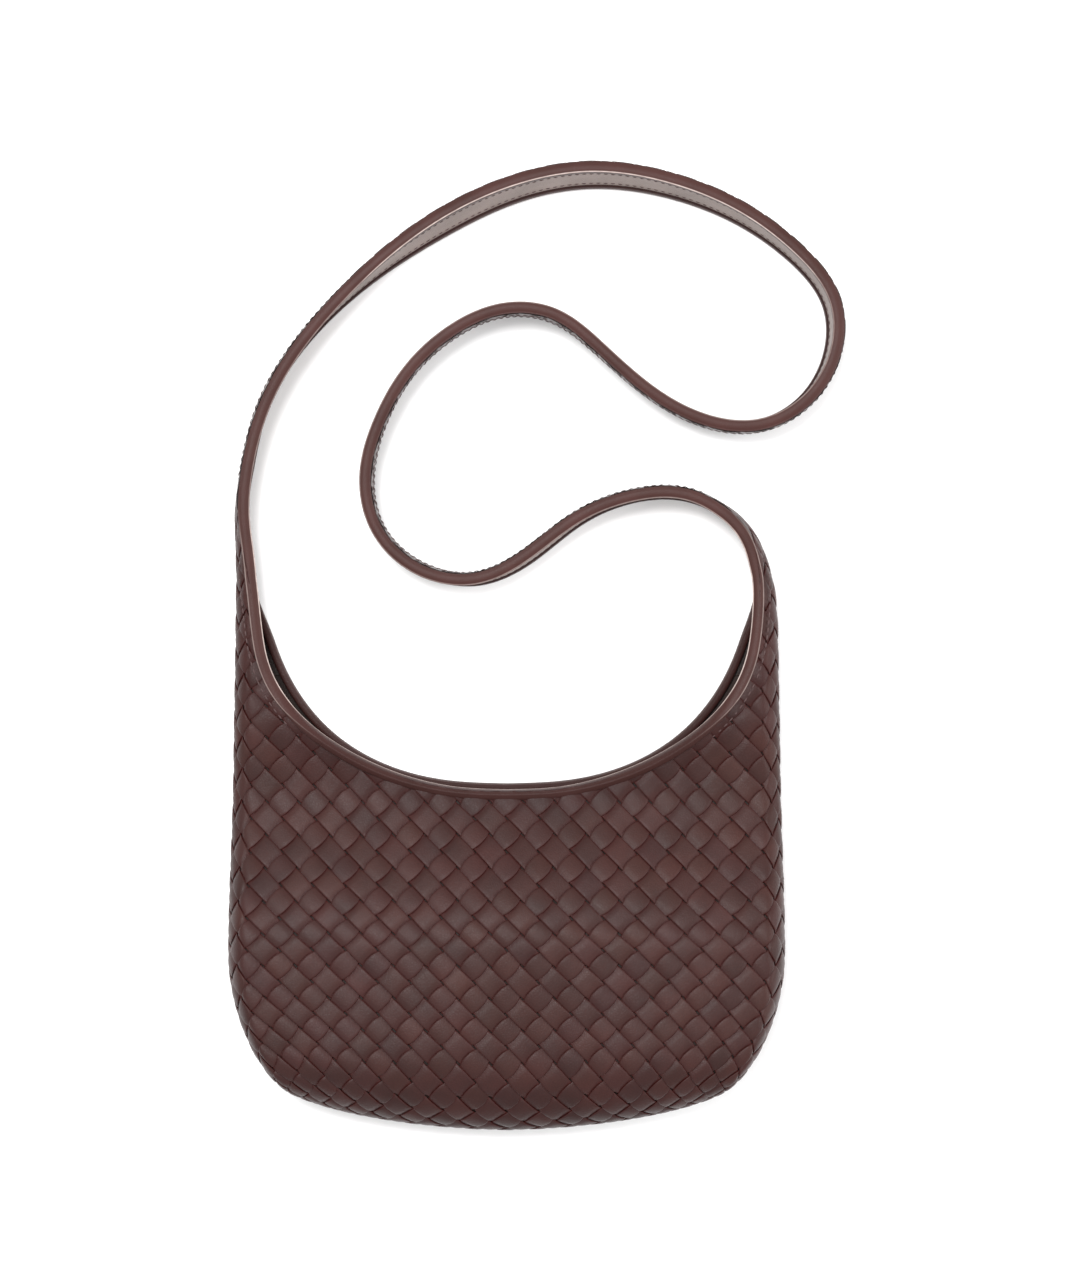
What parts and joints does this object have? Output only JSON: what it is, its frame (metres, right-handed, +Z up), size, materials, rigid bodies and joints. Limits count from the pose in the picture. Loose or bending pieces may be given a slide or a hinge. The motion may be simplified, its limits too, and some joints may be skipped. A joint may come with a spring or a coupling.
{
  "type": "crossbody purse",
  "caption": "Soft woven-leather crossbody purse with a scooped mouth between two horns, one flat bound shoulder strap, a magnetic snap and an inner zip pocket, lying on its back.",
  "frame": {"origin": "middle of the width of the pouch, on the flat outside of the back wall, 76 mm above the base edge", "axes": "+X to the right seen from the front, +Y from the base towards the mouth and strap, +Z out of the back towards the front; the purse lies on its back with +Z up"},
  "size_m": [0.2755, 0.4316, 0.0424],
  "materials": {
    "woven_leather": "strips of matt smooth leather, plain weave at 45 degrees, with darker cut edges",
    "lining_leather": "smooth matt lining leather",
    "binding_leather": "smooth rolled binding with painted edges, stitched",
    "pocket_leather": "smooth matt leather, stitched",
    "strap_core": "woven reinforcing tape",
    "zip_tape": "woven cotton tape",
    "zip_metal": "aged satin brass",
    "snap_metal": "aged satin brass"
  },
  "bodies": {
    "bag": {"weave_front": "woven_leather", "weave_back": "woven_leather", "weave_horn_left": "woven_leather", "weave_horn_right": "woven_leather", "lining_front": "lining_leather", "lining_back": "lining_leather", "lining_horn_left": "lining_leather", "lining_horn_right": "lining_leather", "binding_front_left": "binding_leather", "binding_front_right": "binding_leather", "binding_back": "binding_leather", "magnet_back": "snap_metal", "pocket_panel": "pocket_leather", "zip_tape_upper": "zip_tape", "zip_tape_lower": "zip_tape", "zip_teeth_upper": "zip_metal", "zip_teeth_lower": "zip_metal", "zip_stops": "zip_metal"},
    "front_lip": {"weave_front_lip": "woven_leather", "lining_front_lip": "lining_leather", "binding_front_lip": "binding_leather", "magnet_front": "snap_metal"},
    "strap": {"weave_strap": "woven_leather", "strap_core": "strap_core", "lining_strap": "lining_leather", "binding_strap_top": "binding_leather", "binding_strap_bottom": "binding_leather"},
    "zip_slider": {"zip_slider": "zip_metal", "zip_pin": "zip_metal"},
    "zip_pull": {"zip_pull": "zip_metal"}
  },
  "joints": [
    {"name": "mouth_open", "type": "hinge", "parent": "bag", "child": "front_lip", "pos_m": [0, 0.022, 0.0387], "axis": [1, 0, 0], "range_deg": [0, 20]},
    {"name": "strap_swing", "type": "hinge", "parent": "bag", "child": "strap", "pos_m": [0, 0.166, 0.0129], "axis": [1, 0, 0], "range_deg": [0, 90]},
    {"name": "zip_run", "type": "slide", "parent": "bag", "child": "zip_slider", "axis": [-1, 0, 0], "range_m": [0, 0.1]},
    {"name": "zip_pull_turn", "type": "hinge", "parent": "zip_slider", "child": "zip_pull", "pos_m": [0.05, 0.032, 0.0096], "axis": [0, 1, 0], "range_deg": [0, 160]}
  ]
}
